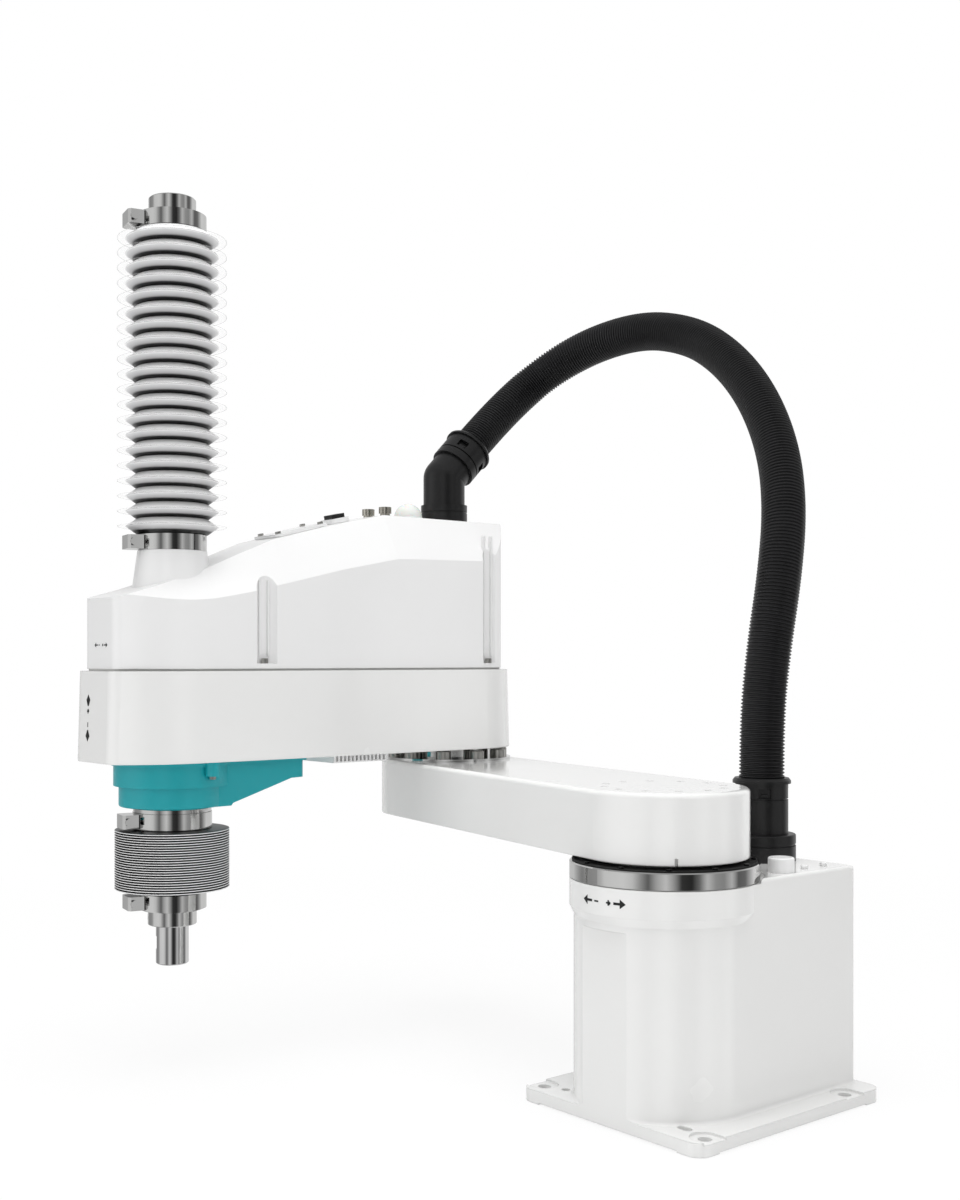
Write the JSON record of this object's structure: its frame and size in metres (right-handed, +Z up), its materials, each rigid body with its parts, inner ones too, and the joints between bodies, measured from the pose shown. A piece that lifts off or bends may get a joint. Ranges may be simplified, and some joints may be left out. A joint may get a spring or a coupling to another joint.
{
  "type": "scara robot",
  "caption": "Four-axis horizontal arm robot with two swinging links and a bellows-sealed vertical quill.",
  "frame": {"origin": "on the first joint's axis in the plane of the base's mounting face", "axes": "+Z up along all the joint axes; +X from the rear connector box to the front of the base; +Y to the side with the cable cap; drawn in the picture's pose"},
  "size_m": [0.4835, 0.4596, 0.6665],
  "materials": {
    "white_paint": "gloss white stove enamel on castings",
    "white_plastic": "gloss",
    "teal_plastic": "satin teal moulding",
    "bright_steel": "fine brushed",
    "ground_steel": "ground and polished",
    "black_rubber": "matt",
    "black_plastic": "matt",
    "bellows_light": "satin, pale grey",
    "bellows_dark": "satin, black",
    "nickel_brass": "nickel plated",
    "motor_black": "matt black",
    "anodised": "clear anodised",
    "lamp_plastic": "milky"
  },
  "bodies": {
    "base": {"base_casting": "white_paint", "rear_panel": "anodised", "panel_screws": "bright_steel", "power_connector": "motor_black", "signal_connector": "motor_black", "air_ports": "nickel_brass", "j1_motor": "motor_black", "j1_reducer_ring": "bright_steel", "seal_ring": "black_rubber", "ring_screws": "bright_steel", "cable_cap": "black_plastic", "box_plugs": "white_plastic", "conduit_flange": "black_plastic", "conduit_lock_collar": "black_plastic", "conduit_lower": "black_rubber"},
    "link_1": {"link_1_casting": "white_paint", "j1_output_flange": "bright_steel", "hub_plugs": "white_plastic", "j2_reducer": "bright_steel", "j2_reducer_screws": "bright_steel"},
    "link_2": {"link_2_casting": "white_paint", "cover_gasket": "black_rubber", "upper_cover": "white_plastic", "cover_screws": "bright_steel", "belt_cover": "teal_plastic", "belt_cover_screws": "bright_steel", "vent_block": "white_plastic", "j2_motor": "motor_black", "j3_motor": "motor_black", "j4_motor": "motor_black", "j3_belt": "black_rubber", "j4_belt": "black_rubber", "bearing_housing": "anodised", "neck_ring": "bright_steel", "upper_bellows": "bellows_light", "boss_clamp": "bright_steel", "neck_clamp": "bright_steel", "signal_lamp": "lamp_plastic", "air_fittings": "nickel_brass", "access_plate": "anodised", "access_plate_screws": "bright_steel", "button_frame": "white_plastic", "conduit_elbow": "black_plastic", "elbow_lock_collar": "black_plastic", "conduit_upper": "black_rubber"},
    "screw_nut_set": {"ball_screw_nut": "ground_steel", "screw_nut_pulley": "anodised"},
    "spline_nut_set": {"spline_nut": "ground_steel", "spline_nut_pulley": "anodised"},
    "j3_pulley": {"j3_motor_pulley": "anodised"},
    "j4_pulley": {"j4_motor_pulley": "anodised"},
    "carriage": {"top_bearing_ring": "bright_steel", "top_clamp": "bright_steel", "bottom_bearing_ring": "bright_steel", "foot_clamp": "bright_steel", "lower_bellows": "bellows_dark"},
    "quill": {"quill_shaft": "ground_steel", "top_cap": "bright_steel", "stop_collar": "bright_steel"},
    "brake_button": {"brake_release_button": "black_plastic"}
  },
  "joints": [
    {"name": "j1", "type": "hinge", "parent": "base", "child": "link_1", "pos_m": [0, 0, 0], "axis": [0, 0, 1], "range_deg": [-23, 227], "deforming": ["conduit_lower"]},
    {"name": "j2", "type": "hinge", "parent": "link_1", "child": "link_2", "pos_m": [-0.06757, -0.3179, 0], "axis": [0, 0, 1], "range_deg": [-243, 39], "deforming": ["conduit_upper"]},
    {"name": "j3", "type": "slide", "parent": "link_2", "child": "carriage", "axis": [0, 0, -1], "range_m": [0, 0.17], "deforming": ["upper_bellows", "lower_bellows"]},
    {"name": "j4", "type": "hinge", "parent": "carriage", "child": "quill", "pos_m": [0.20743, -0.3179, 0], "axis": [0, 0, 1], "range_deg": [-360, 360]},
    {"name": "screw_nut_turn", "type": "hinge", "parent": "link_2", "child": "screw_nut_set", "pos_m": [0.20743, -0.3179, 0], "axis": [0, 0, 1], "range_deg": [-2, 3062]},
    {"name": "spline_nut_turn", "type": "hinge", "parent": "link_2", "child": "spline_nut_set", "pos_m": [0.20743, -0.3179, 0], "axis": [0, 0, 1], "range_deg": [-361, 361]},
    {"name": "j3_motor_turn", "type": "hinge", "parent": "link_2", "child": "j3_pulley", "pos_m": [0.06243, -0.3179, 0], "axis": [0, 0, 1], "range_deg": [-2, 7475]},
    {"name": "j4_motor_turn", "type": "hinge", "parent": "link_2", "child": "j4_pulley", "pos_m": [0.12843, -0.3179, 0], "axis": [0, 0, 1], "range_deg": [-880, 880]},
    {"name": "brake_button_press", "type": "slide", "parent": "link_2", "child": "brake_button", "axis": [-0.2169, 0, -0.9762], "range_m": [0, 0.002], "stiffness_N_per_m": 300, "springref_m": -0.001}
  ],
  "couplings": [
    {"joint": "screw_nut_turn", "follows": "j3", "rad_per_m": 314.16},
    {"joint": "j3_motor_turn", "follows": "j3", "rad_per_m": 766.76},
    {"joint": "spline_nut_turn", "follows": "j4", "ratio": 1},
    {"joint": "j4_motor_turn", "follows": "j4", "ratio": 2.4407}
  ]
}
